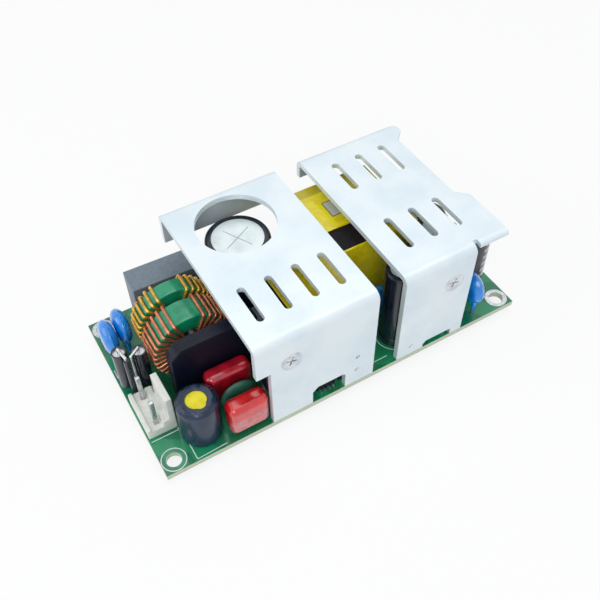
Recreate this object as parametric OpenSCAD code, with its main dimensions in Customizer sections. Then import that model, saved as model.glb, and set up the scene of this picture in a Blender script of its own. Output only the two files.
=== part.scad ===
// Open frame power supply: printed board with through-hole parts under two
// folded aluminium heatsink plates. Millimetres. Origin: middle of the board's
// four mounting holes, on the board's underside. +X runs from the input header
// to the output header, -Y is the side with the upright plate walls, +Z is up.

/* [Board] */
// length of the printed board along X
board_l = 101.6; // [101.6:0.2:106]
// width of the printed board along Y
board_w = 50.8; // [50.8:0.2:54]
// thickness of the printed board
board_t = 1.6; // [1.2:0.2:2.4]
// spacing of the mounting holes along X
hole_pitch_x = 95.25; // [94.4:0.05:95.6]
// spacing of the mounting holes along Y
hole_pitch_y = 44.45; // [44:0.05:44.9]
// diameter of the mounting holes
mount_hole_d = 3.8; // [3.2:0.1:4.0]
// diameter of a thin component lead
lead_d = 0.8; // [0.5:0.05:1.0]
// width of the square header pins and diameter of the rectifier legs
heavy_lead = 1.14; // [0.9:0.02:1.3]
// play of a lead in its plated hole, all round
hole_clear = 0.12; // [0.08:0.01:0.2]
// how far the soldered lead tips stand below the board
tip_drop = 1.8; // [1.4:0.1:2.4]

/* [Heatsink plates] */
// sheet thickness of both plates
sheet_t = 1.5; // [1:0.1:1.6]
// height of the plate tops above the board
plate_rise = 30.2; // [30:0.2:34]
// outside radius of the folds
fold_r = 2.2; // [1.8:0.1:3]
// length of the primary plate along X
primary_l = 31.9; // [30:0.1:34]
// length of the secondary plate along X
secondary_l = 30.1; // [29:0.1:33]
// depth of the rear lip of the primary plate
primary_lip = 9.2; // [5:0.1:12]
// depth of the rear lip of the secondary plate
secondary_lip = 5.4; // [4:0.1:10]
// width of the vent slots
slot_w = 2.0; // [1.4:0.1:3]
// length of the vent slots
slot_l = 11; // [8:0.1:12]
// diameter of the round opening over the bulk capacitor
port_d = 20.1; // [17.4:0.1:21]
// nominal diameter of the clamp screws
screw_d = 3; // [2.5:0.1:3]

/* [Electrolytic capacitors] */
// diameter of the bulk capacitor over its sleeve
bulk_d = 16.6; // [14:0.1:17]
// height of the bulk capacitor
bulk_h = 25; // [20:0.5:27]
// diameter of the large output capacitors
output_d = 10; // [8:0.1:10]
// height of the tall output capacitors
tall_h = 25.4; // [18:0.2:27]
// height of the short output capacitors
short_h = 20; // [14:0.5:24]
// wall of the shrunk capacitor sleeves
sleeve_t = 0.3; // [0.2:0.05:0.5]

/* [Line chokes] */
// outside diameter of the choke cores
core_od = 19.2; // [18:0.1:19.4]
// bore of the choke cores
core_id = 10.4; // [9.6:0.1:11]
// width of the front choke core
front_core_w = 6.6; // [5:0.1:6.8]
// width of the rear choke core
rear_core_w = 4.4; // [3.6:0.1:4.6]
// diameter of the choke wire
choke_wire = 0.8; // [0.6:0.05:0.85]
// turns on each half of a choke
choke_turns = 14; // [10:1:14]

/* [Wound parts] */
// length of the main transformer core along X
trans_l = 20.8; // [18:0.2:21]
// height of the main transformer core
trans_h = 20.2; // [17:0.2:21.4]
// thickness of the tape wraps
tape_t = 0.6; // [0.3:0.1:0.6]
// length of the boost inductor along X
boost_l = 17; // [14:0.2:17.4]
// height of the boost inductor core
boost_h = 20.4; // [17:0.2:22]
// diameter of the sleeved filter inductor
filter_d = 10; // [8.4:0.1:10]
// height of the sleeved filter inductor
filter_h = 13.4; // [11:0.1:16]

/* [Film and disc parts] */
// body length of the box film capacitor
xcap_l = 18; // [15:0.1:18.4]
// body thickness of the box film capacitor
xcap_w = 7.5; // [6:0.1:7.6]
// body height of the box film capacitor
xcap_h = 14.6; // [12:0.1:18]
// diameter of the disc capacitors
disc_d = 9.6; // [8:0.1:9.8]
// thickness of the disc capacitors
disc_t = 3.9; // [3:0.1:4]
// width of the bridge rectifier
bridge_l = 22.3; // [20:0.1:22.6]
// height of the bridge rectifier body
bridge_h = 18.6; // [15:0.1:20]
// thickness of the bridge rectifier body
bridge_t = 3.4; // [3:0.1:3.6]

/* [Hidden] */
$fn = 48;
top = board_t;                        // upper face of the board
half_l = board_l/2;
half_w = board_w/2;
front_y = -half_w;                    // plane of the upright plate walls
wall_y = front_y + sheet_t;           // inner face of those walls
rear_y = half_w - 1.3;                // rear ends of the plates
plate_top = top + plate_rise;
plate_under = plate_top - sheet_t;
p1_x0 = -26.5; p1_x1 = p1_x0 + primary_l;
p1_wall = p1_x0 + 3.6;                // the primary wall narrows below the shoulder
shoulder_z = plate_top - 10.2;
p2_x0 = 12.7;  p2_x1 = p2_x0 + secondary_l;
p2_wall = p2_x0 + 20.3;               // the secondary wall is shorter than its top
tiny = 0.05;                          // gap between neighbours that only sit close
seat = 0.02;                          // gap of a pin in its moulding

// ---- places on the board
bulk_c = [-11.6, 11.3];
tall_c = [[16.9, front_y + 7.2], [31.8, front_y + 13.8]];
short_c = [[37.5, -1.8], [37.5, 8.9]];
small_c = [43.9, front_y + 11.8];
small_d = 8;
tall_d = [output_d*0.84, output_d];
short_d = [output_d*0.92, output_d*0.88];

choke_x = -32.0;
front_choke_y = 0.7;
rear_choke_y = front_choke_y + (front_core_w + rear_core_w)/2 + 2*choke_wire + 1.1;
choke_r = core_od/2 + choke_wire;
base_t = 0.9;
choke_z = top + base_t + choke_r;
choke_foot = 4.5;                     // wire ends, each side of the middle

xcap_c = [-29.5, 20.9]; xcap_skew = -2; xcap_pitch = 15;
film_rear_c = [-28.4, -13.2]; film_rear = [11.6, 4.4, 11.4];
film_front_c = [-28.2, front_y + 3.0]; film_front = [10.2, 4.8, 10.0];
film_lift = 0.8;
film_pitch = 7.5;
ntc_c = [-28.0, -17.9]; ntc_d = 9.6; ntc_t = 2.2; ntc_z = top + 6.3;
bridge_c = [-29.15, -8.7]; bridge_lift = 2.8; bridge_pitch = 5.08;

filter_c = [-38.5, -18.3];

ycap_z = top + 8.0; ycap_pitch = 5;
ycap_left = [-half_l + 2.4, 12.5];
ycap_mid = [ycap_left[0] + disc_t + 2*tiny, 14.2];
ycap_right = [39.0, front_y + 5.1];
ycap_gap = [16.2, -10.6];

fuse_c = [[-48.7, 2.4], [-44.4, 0.5]]; fuse_d = 3.6; fuse_z0 = top + 1.2; fuse_h = 12.6;
fuse_back = [[0.6, -3.2], [-2.4, -1.6]];   // where each fuse's return lead lands

in_x0 = -half_l + 0.4; in_w = 7.3; in_y0 = -14.6; in_l = 12.2;
in_pin_x = in_x0 + 3.0; in_pitch = 7.92;
in_pin_y = in_y0 + in_l/2;
out_w = 7.5; out_x0 = half_l - 0.4 - out_w; out_pitch = 3.96; out_n = 6;
out_pin_x = out_x0 + 4.4; out_yc = 3.9; out_l = out_pitch*out_n;
head_base = 2.6; head_wall = 12.0; head_pin = 11.2;

tr_x = 19; tr_y0 = -6; tr_y1 = 18; tr_z0 = top + 4.4; tr_z1 = tr_z0 + trans_h;
tr_yoke = 7.5; tr_back = 3.1; tr_leg = 3.4; tr_mid_r = 4.2;
tr_x0 = tr_x - trans_l/2; tr_x1 = tr_x + trans_l/2;
tr_zc = (tr_z0 + tr_z1)/2;
tr_a = tr_y0 + tr_yoke; tr_b = tr_y1 - tr_back;      // winding window
bo_y0 = -18.2; bo_y1 = -2.1; bo_x1 = 5; bo_x0 = bo_x1 - boost_l;
bo_z0 = top + 2.4; bo_z1 = bo_z0 + boost_h; bo_zc = (bo_z0 + bo_z1)/2;
bo_yc = (bo_y0 + bo_y1)/2; bo_plate = 3; bo_mid_r = 3.8;
aux_x0 = -2; aux_l = 8; aux_y0 = 8; aux_w = 10; aux_h = 10.6;

screw_z = plate_top - 9.1;
dev_x = [-17.5, 27.4];
pad_t = 0.2; dev_w = 10; tab_t = 1.3; body_t = 4.4; dev_pitch = 2.54;
dev_y = wall_y + pad_t;                  // back face of the clamped tabs
tab_top = screw_z + 2.9; body_top = screw_z - 3.3; body_z = body_top - 9.1;
dev_leg_y = dev_y + 2.6;
nut_t = 2.2;

foot_x = [p1_x1 - 4.9, p1_wall + 1.8, p2_x0 + 4.1, p2_wall - 1.8];
foot_h = [12.6, 6.6, 6.6, 6.6];
foot_w = 3.0; foot_t = 0.6;
foot_dot = [[5, 10], [], [3.1], []];
foot_y = wall_y + foot_t/2;
dot_d = 1.2;

function turned(c, a, p) = [c[0] + p[0]*cos(a) - p[1]*sin(a), c[1] + p[0]*sin(a) + p[1]*cos(a)];
function pair_x(c, s) = [[c[0] - s/2, c[1]], [c[0] + s/2, c[1]]];
function pair_y(c, s) = [[c[0], c[1] - s/2], [c[0], c[1] + s/2]];

bulk_pins = pair_y(bulk_c, 7.5);
tall_pins = concat(pair_y(tall_c[0], 3.5), pair_y(tall_c[1], 5));
short_pins = concat(pair_y(short_c[0], 5), pair_y(short_c[1], 5));
small_pins = pair_y(small_c, 3.5);
xcap_pins = [for (s = [-1, 1]) turned(xcap_c, xcap_skew, [s*xcap_pitch/2, 0])];
film_pins = concat(pair_x(film_rear_c, film_pitch), pair_x(film_front_c, film_pitch));
ntc_pins = pair_x(ntc_c, 5);
ycap_pins = concat(pair_y(ycap_left, ycap_pitch), pair_y(ycap_mid, ycap_pitch),
                   pair_x(ycap_gap, ycap_pitch), pair_y(ycap_right, ycap_pitch));
filter_pins = pair_y(filter_c, 5);
fuse_pins = concat(fuse_c, [for (i = [0, 1]) fuse_c[i] + fuse_back[i]]);
choke_pins = [for (cy = [front_choke_y, rear_choke_y], s = [-1, 1], t = [-1, 1])
              [choke_x + s*choke_foot, cy + t*1.5]];
bridge_pins = [for (i = [-1.5:1:1.5]) [bridge_c[0] + i*bridge_pitch, bridge_c[1]]];
trans_pins = [for (i = [-2:2], y = [tr_y0 + 3, tr_y1 - 3]) [tr_x + i*4, y]];
boost_pins = [for (i = [-1, 1], y = [bo_y0 + 3, bo_y1 - 3]) [(bo_x0 + bo_x1)/2 + i*5, y]];
aux_pins = [for (x = [aux_x0 + 1.5, aux_x0 + aux_l - 1.5], y = [aux_y0 + 1.5, aux_y0 + aux_w - 1.5]) [x, y]];
dev_pins = [for (x = dev_x, i = [-1:1]) [x + i*dev_pitch, dev_leg_y]];
foot_pins = [for (x = foot_x) [x, foot_y]];
opto_c = [[10.4, 22.1], [18.4, 22.1]];
reso_c = [-17.3, -2.5]; reso = [8, 6, 10.6]; reso_pitch = 5;
reso_pins = pair_x(reso_c, reso_pitch);
opto_pins = [for (c = opto_c, i = [-1, 1], j = [-1, 1]) [c[0] + i*3.4, c[1] + j*1.27]];
in_pins = [for (s = [-1, 1]) [in_pin_x, in_pin_y + s*in_pitch/2]];
out_pins = [for (i = [0:out_n-1]) [out_pin_x, out_yc + (i - (out_n-1)/2)*out_pitch]];

thin_pins = concat(bulk_pins, tall_pins, short_pins, small_pins, xcap_pins, film_pins, ntc_pins,
                   ycap_pins, filter_pins, fuse_pins, choke_pins, trans_pins, boost_pins,
                   aux_pins, dev_pins, foot_pins, opto_pins, reso_pins);
heavy_pins = concat(in_pins, out_pins, bridge_pins);

// ---- helpers
module at(p, z = 0) { translate([p[0], p[1], z]) children(); }
module along_x() { rotate([90, 0, 90]) linear_extrude(1) children(); }
module block(x0, x1, y0, y1, z0, z1) { translate([x0, y0, z0]) cube([x1-x0, y1-y0, z1-z0]); }
module round_rect(w, h, r) {
    square([w - 2*r, h], center = true);
    square([w, h - 2*r], center = true);
    for (i = [-1, 1], j = [-1, 1]) translate([i*(w/2 - r), j*(h/2 - r)]) circle(r);
}
module leads(list, z1, d = lead_d) { for (p = list) at(p) cylinder(h = z1, d = d); }
module y_rod(x, z, y0, y1, d) { translate([x, y1, z]) rotate([90, 0, 0]) cylinder(h = y1 - y0, d = d); }
module x_rod(y, z, x0, x1, d) { translate([x0, y, z]) rotate([0, 90, 0]) cylinder(h = x1 - x0, d = d); }

// ---- board and solder
module pcb() {
    color("#0e7f5a") difference() {
        translate([-half_l, -half_w, 0]) cube([board_l, board_w, board_t]);
        for (i = [-1, 1], j = [-1, 1]) translate([i*hole_pitch_x/2, j*hole_pitch_y/2, -1])
            cylinder(h = board_t + 2, d = mount_hole_d);
        for (p = thin_pins) at(p, -1) cylinder(h = board_t + 2, d = lead_d + 2*hole_clear, $fn = 16);
        for (p = heavy_pins) at(p, -1)
            cylinder(h = board_t + 2, d = heavy_lead*sqrt(2) + 2*hole_clear, $fn = 16);
    }
}
module joint_at(p, d) {
    at(p, -tip_drop) cylinder(h = tip_drop, d = d, $fn = 16);
    at(p, -1.1) cylinder(h = 1.1, d1 = d, d2 = d + 1.1, $fn = 16);
}
module solder_joints() {
    color("#c9ccd0") {
        for (p = thin_pins) joint_at(p, lead_d);
        for (p = heavy_pins) joint_at(p, heavy_lead*1.3);
    }
}

// ---- heatsink plates
module fold_profile(lip) {
    r = fold_r; q = fold_r - sheet_t;
    translate([front_y, top]) square([sheet_t, plate_top - r - top]);
    translate([front_y + r, plate_under]) square([rear_y - front_y - 2*r, sheet_t]);
    translate([rear_y - sheet_t, plate_top - lip]) square([sheet_t, lip - r]);
    for (s = [0, 1]) translate([s ? rear_y - r : front_y + r, plate_top - r]) mirror([s, 0])
        intersection() {
            difference() { circle(r); circle(q); }
            translate([-r, 0]) square([r, r]);
        }
}
module slot(x, y) {
    for (s = [-1, 1]) translate([x, y + s*(slot_l - slot_w)/2, plate_under - 1])
        cylinder(h = sheet_t + 2, d = slot_w);
    translate([x - slot_w/2, y - (slot_l - slot_w)/2, plate_under - 1])
        cube([slot_w, slot_l - slot_w, sheet_t + 2]);
}
module screw_hole(x) {
    y_rod(x, screw_z, front_y - 1, wall_y + 1, screw_d + 0.3);
    translate([x, front_y, screw_z]) rotate([-90, 0, 0])
        cylinder(h = sheet_t*0.8, d1 = screw_d*1.85 + 0.1, d2 = screw_d + 0.3);
}
module wall_window(x0, x1, h, c) {
    translate([0, front_y - 1, 0]) mirror([0, 1, 0]) rotate([90, 0, 0]) linear_extrude(sheet_t + 2)
        polygon([[x0, top - 1], [x0, top + h - c], [x0 + c, top + h], [x1 - c/2, top + h],
                 [x1, top + h - c/2], [x1, top - 1]]);
}
module foot_holes(a, b) {
    for (i = [a:b], z = foot_dot[i]) y_rod(foot_x[i], top + z, front_y - 1, wall_y + 1, dot_d + 0.1);
}
module primary_plate() {
    color("#dfe7ea") difference() {
        translate([p1_x0, 0, 0]) rotate([90, 0, 90]) linear_extrude(primary_l) fold_profile(primary_lip);
        block(p1_x0 - 1, p1_wall, front_y - 1, 0, 0, shoulder_z);
        wall_window(-12.0, -2.8, 5.7, 1.4);
        translate([bulk_c[0] - 0.2, bulk_c[1] - 0.2, plate_under - 1])
            cylinder(h = sheet_t + 2, d = port_d, $fn = 72);
        for (i = [0:3]) slot(-20.75 + i*6.97, -13.1);
        screw_hole(dev_x[0]);
        foot_holes(0, 1);
        translate([p1_x1 - 1.2, rear_y - 1.2, plate_under - 1]) difference() {
            cube([2, 2, sheet_t + 2]); cylinder(h = sheet_t + 2, r = 1.2);
        }
    }
}
module secondary_plate() {
    notch = 3.0;
    color("#dfe7ea") difference() {
        translate([p2_x0, 0, 0]) rotate([90, 0, 90]) linear_extrude(secondary_l) fold_profile(secondary_lip);
        block(p2_wall, p2_x1 + 1, front_y - 1, wall_y + 1, 0, plate_under);
        block(p2_wall, p2_x1 + 1, front_y - 1, front_y + 0.8, 0, plate_top + 1);
        block(p2_wall, p2_wall + 1.3, front_y - 1, front_y + fold_r + 0.4, plate_under - 5, plate_top + 1);
        wall_window(20.8, 29.5, 2.1, 0.9);
        translate([0, 0, plate_top - 15]) linear_extrude(20) polygon([
            [p2_x1 + 1, -9.8], [p2_x1, -9.8], [p2_x1 - notch, -9.8 + notch],
            [p2_x1 - notch, 20 - notch], [p2_x1, 20], [p2_x1 + 1, 20]]);
        translate([0, 0, plate_top - 15]) linear_extrude(20) polygon([
            [p2_x1 + 1, rear_y - 2.4], [p2_x1, rear_y - 2.4], [p2_x1 - 2.2, rear_y + 0.1],
            [p2_x1 - 2.2, rear_y + 1], [p2_x1 + 1, rear_y + 1]]);
        for (i = [0:2], y = [11.95, -11.6]) slot(19.85 + i*7.1, y);
        screw_hole(dev_x[1]);
        foot_holes(2, 3);
    }
}
module plate_feet() {
    color("#c9ccd0") for (i = [0:3]) {
        block(foot_x[i] - foot_w/2, foot_x[i] + foot_w/2, wall_y, wall_y + foot_t, top, top + foot_h[i]);
        at([foot_x[i], foot_y]) cylinder(h = top, d = foot_t - 0.02, $fn = 16);
        for (z = foot_dot[i]) y_rod(foot_x[i], top + z, front_y + 0.15, wall_y + foot_t/2, dot_d);
    }
}

// ---- clamped power devices
module clamp_screws() {
    color("#d8dbdd") for (x = dev_x) difference() {
        union() {
            y_rod(x, screw_z, front_y + 0.1, dev_y + tab_t + nut_t + 1, screw_d);
            translate([x, front_y + 0.1, screw_z]) rotate([-90, 0, 0])
                cylinder(h = sheet_t*0.8 - 0.1, d1 = screw_d*1.85 - 0.2, d2 = screw_d);
        }
        for (a = [0, 90]) translate([x, front_y, screw_z]) rotate([0, a + 20, 0])
            cube([2.8, 1.2, 0.5], center = true);
    }
}
module clamp_nuts() {
    color("#b9bcc0") for (x = dev_x) translate([x, dev_y + tab_t + nut_t, screw_z]) rotate([90, 0, 0])
        difference() {
            rotate(30) cylinder(h = nut_t, d = 5.5/cos(30), $fn = 6);
            translate([0, 0, -1]) cylinder(h = nut_t + 2, d = screw_d + 0.1);
        }
}
module insulator_pads() {
    color("#8a8f93") for (x = dev_x) difference() {
        block(x - dev_w/2 - 0.2, x + dev_w/2 + 0.2, wall_y, wall_y + pad_t, body_z - 0.8, tab_top + 0.6);
        y_rod(x, screw_z, wall_y - 1, wall_y + 1, screw_d + 0.4);
    }
}
module device_metal(x) {
    color("#c2c6c9") {
        difference() {
            block(x - dev_w/2, x + dev_w/2, dev_y, dev_y + tab_t, body_z, tab_top);
            y_rod(x, screw_z, dev_y - 1, dev_y + tab_t + 1, screw_d + 0.6);
        }
        for (i = [-1:1]) at([x + i*dev_pitch, dev_leg_y]) cylinder(h = body_z, d = lead_d);
    }
}
module device_body(x) {
    color("#1c1e20") block(x - dev_w/2, x + dev_w/2, dev_y + tab_t, dev_y + body_t, body_z, body_top);
}
module device_tabs() { for (x = dev_x) device_metal(x); }
module device_bodies() { for (x = dev_x) device_body(x); }

// ---- bridge rectifier
module bridge_rectifier() {
    x0 = -bridge_l/2; c = 2.8;
    color("#22252a") translate([bridge_c[0], bridge_c[1] + bridge_t/2, top + bridge_lift])
        rotate([90, 0, 0]) linear_extrude(bridge_t)
            polygon([[x0, 0], [-x0, 0], [-x0, bridge_h], [x0 + c, bridge_h], [x0, bridge_h - c]]);
}
module bridge_legs() { color("#c9ccd0") leads(bridge_pins, top + bridge_lift, heavy_lead); }

// ---- electrolytic capacitors
module el_sleeve(c, d, h) {
    at(c, top) rotate_extrude() difference() {
        square([d/2, h]);
        translate([0, sleeve_t]) square([d/2 - sleeve_t, h - 2*sleeve_t]);
        square([d/2 - 1.5, h]);
    }
}
module el_can(c, d, h) {
    r = d/2 - sleeve_t; lip = d/2 - 1.5;
    at(c, top) difference() {
        rotate_extrude() difference() {
            union() {
                translate([0, sleeve_t]) square([r, h - 2*sleeve_t]);
                translate([0, sleeve_t]) square([lip - 0.3, h - 1.5*sleeve_t]);
            }
            square([r - 0.6, 2.2]);
        }
        for (a = [0, 90]) rotate(a + 25) translate([0, 0, h - sleeve_t/2])
            cube([d*0.5, 0.3, 0.2], center = true);
    }
}
module el_seal(c, d) {
    at(c, top) cylinder(h = 2.2, r = d/2 - sleeve_t - 0.6 < d/2 - 1.5 ? d/2 - sleeve_t - 0.6 : d/2 - 1.5);
}
module bulk_can() { color("#d5dadd") el_can(bulk_c, bulk_d, bulk_h); }
module bulk_sleeve() { color("#161b26") el_sleeve(bulk_c, bulk_d, bulk_h); }
module output_cans() {
    color("#d5dadd") {
        for (i = [0, 1]) { el_can(tall_c[i], tall_d[i], tall_h); el_can(short_c[i], short_d[i], short_h); }
        el_can(small_c, small_d, short_h);
    }
}
module output_sleeves() {
    color("#12172a") {
        for (i = [0, 1]) {
            el_sleeve(tall_c[i], tall_d[i], tall_h);
            el_sleeve(short_c[i], short_d[i], short_h);
        }
        el_sleeve(small_c, small_d, short_h);
    }
}
module capacitor_seals() {
    color("#2a2a2a") {
        el_seal(bulk_c, bulk_d);
        for (i = [0, 1]) { el_seal(tall_c[i], tall_d[i]); el_seal(short_c[i], short_d[i]); }
        el_seal(small_c, small_d);
    }
}

// ---- line chokes: a ring core on edge with a winding on each side
module ring_core(cy, w) {
    b = 0.5; a = core_id/2; e = core_od/2; h = w/2;
    translate([choke_x, cy, choke_z]) rotate([90, 0, 0]) rotate_extrude($fn = 72)
        polygon([[a + b, -h], [e - b, -h], [e, -h + b], [e, h - b],
                 [e - b, h], [a + b, h], [a, h - b], [a, -h + b]]);
}
module choke_half(cy, w, s) {
    t = choke_wire; h = w/2; span = 146; a = core_id/2; e = core_od/2; film = t*0.45;
    // one layer round the core, from the bottom up one side
    translate([choke_x, cy, choke_z]) mirror([s, 0, 0]) rotate([90, 0, 0]) {
        rotate(-span/2) rotate_extrude(angle = span) difference() {
            translate([a - film, -h - film]) square([e - a + 2*film, w + 2*film]);
            translate([a, -h]) square([e - a, w]);
        }
        // each turn is a ridge seated half-way into the film, clear of the next one in the bore
        for (i = [0:choke_turns-1]) rotate(-span/2 + (i + 0.5)*span/choke_turns)
            rotate([90, 0, 0]) translate([0, 0, -0.375*t]) linear_extrude(0.75*t) difference() {
                translate([a - t, -h - t]) square([e - a + 2*t, w + 2*t]);
                translate([a - film/2, -h - film/2]) square([e - a + film, w + film]);
            }
    }
    for (k = [-1, 1]) at([choke_x + (s ? -1 : 1)*choke_foot, cy + k*1.5])
        cylinder(h = choke_z - sqrt(pow(e, 2) - pow(choke_foot - lead_d/2, 2)) - 0.05, d = lead_d);
}
module front_choke_core() { color("#12a377") ring_core(front_choke_y, front_core_w); }
module front_winding_right() { color("#d9895c") choke_half(front_choke_y, front_core_w, 0); }
module front_winding_left() { color("#d9895c") choke_half(front_choke_y, front_core_w, 1); }
module rear_choke_core() { color("#12a377") ring_core(rear_choke_y, rear_core_w); }
module rear_winding_right() { color("#e2b23e") choke_half(rear_choke_y, rear_core_w, 0); }
module rear_winding_left() { color("#e2b23e") choke_half(rear_choke_y, rear_core_w, 1); }
module choke_bases() {
    color("#26282b") for (k = [0, 1]) {
        cy = k ? rear_choke_y : front_choke_y; w = (k ? rear_core_w : front_core_w) + 2*choke_wire;
        difference() {
            block(choke_x - 6.6, choke_x + 6.6, cy - w/2, cy + w/2, top, top + base_t);
            for (s = [-1, 1], t = [-1, 1]) at([choke_x + s*choke_foot, cy + t*1.5], 0)
                cylinder(h = 9, d = lead_d + 2*hole_clear, $fn = 16);
        }
    }
}
module choke_dividers() {
    color("#70757a") for (k = [0, 1]) {
        cy = k ? rear_choke_y : front_choke_y; w = k ? rear_core_w : front_core_w;
        intersection() {
            block(choke_x - 0.5, choke_x + 0.5, cy - w/2 - choke_wire, cy + w/2 + choke_wire, 0, 40);
            y_rod(choke_x, choke_z, cy - w, cy + w, core_id - 2*seat, $fn = 72);
        }
    }
}

// ---- film, disc and fusing parts at the input
module x_capacitor() {
    color("#6d828e") at(xcap_c, top) rotate(xcap_skew) difference() {
        translate([-xcap_l/2, -xcap_w/2, 0]) cube([xcap_l, xcap_w, xcap_h]);
        for (s = [-1, 1]) translate([s*xcap_l/4, 0, 0]) cube([xcap_l/2 - 1.6, xcap_w - 1.6, 1], center = true);
    }
}
module dipped(c, s) {
    at(c, top + film_lift + s[2]/2) intersection() {
        translate([0, 0, -s[2]/2]) linear_extrude(s[2]) round_rect(s[0], s[1], s[1]*0.42);
        translate([0, s[1]/2, 0]) rotate([90, 0, 0]) linear_extrude(s[1]) round_rect(s[0], s[2], 1.6);
    }
}
module film_capacitor_rear() { color("#a51228") dipped(film_rear_c, film_rear); }
module film_capacitor_front() { color("#c4141c") dipped(film_front_c, film_front); }
module disc_body(d, t) {
    // pill-edged disc, axis along X
    rotate([0, 90, 0]) rotate_extrude() {
        translate([0, -t/2]) square([d/2 - t/2, t]);
        translate([d/2 - t/2, 0]) circle(t/2, $fn = 32);
    }
}
module coated_disc(c, z, d, t, pitch, turn) {
    // dipped disc standing on its own coated legs
    at(c, 0) rotate(turn) {
        translate([0, 0, z]) disc_body(d, t);
        for (s = [-1, 1]) translate([0, s*pitch/2, top + leg_lift])
            cylinder(h = z - top - leg_lift - d/4, d = lead_d + 0.7, $fn = 32);
    }
}
leg_lift = 1.0;
module thermistor() { color("#3f6b5c") coated_disc(ntc_c, ntc_z, ntc_d, ntc_t, 5, 90); }
module input_disc_capacitors() {
    color("#0f8fe0") for (c = [ycap_left, ycap_mid]) coated_disc(c, ycap_z, disc_d, disc_t, ycap_pitch, 0);
}
module output_disc_capacitors() {
    color("#0f8fe0") {
        coated_disc(ycap_gap, ycap_z - 0.8, disc_d*0.9, disc_t*0.9, ycap_pitch, 90);
        coated_disc(ycap_right, ycap_z, disc_d, disc_t, ycap_pitch, 0);
    }
}

filter_wall = 0.5;
module filter_sleeve() {
    r = filter_d/2; k = r*0.28; h = filter_h;
    color("#173049") at(filter_c, top + 0.3) difference() {
        rotate_extrude() polygon([[0, 0], [r, 0], [r, h - k], [r - k, h], [0, h]]);
        translate([0, 0, -1]) cylinder(h = h - filter_wall + 1, r = r - k - 0.1);
        translate([0, 0, -1]) cylinder(h = h - k + 0.9, r = r - filter_wall);
        translate([-0.2, -0.3, h - 2]) cylinder(h = 4, r = r*0.5);
        translate([0.1, -r*0.33, h - 2]) cylinder(h = 4, r = r*0.3);
    }
}
module filter_core() {
    r = filter_d/2; k = r*0.28; h = filter_h;
    color("#e9d93a") at(filter_c, top + 0.3) {
        translate([0, 0, 0.4]) cylinder(h = h - k - 0.6, r = r - filter_wall);
        cylinder(h = h - filter_wall, r = r - k - 0.1);
    }
}

// glass fuses stand on one lead; the other lead comes back down beside them
fuse_in = fuse_d - 0.7; back_d = 1.5;
module fuse_sleeves() {
    color("#1b1d20") {
        for (c = fuse_c) at(c, fuse_z0) difference() {
            cylinder(h = fuse_h, d = fuse_d);
            translate([0, 0, -1]) cylinder(h = fuse_h + 2, d = fuse_in);
        }
        at(fuse_c[0] + fuse_back[0], fuse_z0) difference() {
            cylinder(h = fuse_h, d = back_d);
            translate([0, 0, -1]) cylinder(h = fuse_h + 2, d = lead_d);
        }
    }
}
module bent_lead(a, b, z) {
    // up from one place on the board, across, and down to another
    d = lead_d; n = norm(b - a);
    for (p = [a, b]) { at(p) cylinder(h = z, d = d); at(p, z) sphere(d = d + 0.04); }
    at(a, z) rotate(atan2((b - a)[1], (b - a)[0])) rotate([0, 90, 0]) cylinder(h = n, d = d);
}
module fuses() {
    color("#c9ccd0") for (i = [0, 1]) {
        at(fuse_c[i], fuse_z0 + 0.5) cylinder(h = fuse_h - 1.0, d = fuse_in);
        bent_lead(fuse_c[i], fuse_c[i] + fuse_back[i], fuse_z0 + fuse_h + 1.0);
    }
}

// ---- headers
module header(x0, y0, w, l, pins, n, inner) {
    wall = 1.6; xm = x0 + w/2;
    difference() {
        union() {
            block(x0, x0 + w, y0, y0 + l, top, top + head_base);
            translate([xm, 0, 0]) mirror([inner ? 0 : 1, 0, 0]) {
                block(w/2 - wall, w/2, y0, y0 + l - 3.5, top, top + head_wall);
                block(w/2 - 2*wall, w/2 - wall, y0, y0 + l - 1, top, top + head_base + 1.8);
                block(-w/2, -w/2 + 1, y0, y0 + l, top, top + head_base + 0.8);
            }
        }
        for (p = pins) at(p, 0) rotate(0)
            translate([-heavy_lead/2 - seat, -heavy_lead/2 - seat, 0])
                cube([heavy_lead + 2*seat, heavy_lead + 2*seat, 40]);
        translate([xm, 0, 0]) mirror([inner ? 0 : 1, 0, 0]) for (i = [0:n-1])
            translate([w/2 - wall - 1, y0 + (i + 0.5)*l/n - 1.1, top + head_base + 2.6]) cube([3, 1.6, 2.4]);
    }
}
module header_pins(pins) {
    for (p = pins) at(p) {
        translate([-heavy_lead/2, -heavy_lead/2, 0]) cube([heavy_lead, heavy_lead, top + head_pin]);
    }
}
module input_header() { color("#e8e8e0") header(in_x0, in_y0, in_w, in_l, in_pins, 3, true); }
module input_pins() { color("#c9ccd0") header_pins(in_pins); }
module output_header() {
    color("#e8e8e0") header(out_x0, out_yc - out_l/2, out_w, out_l, out_pins, out_n, false);
}
module output_pins() { color("#c9ccd0") header_pins(out_pins); }

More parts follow.
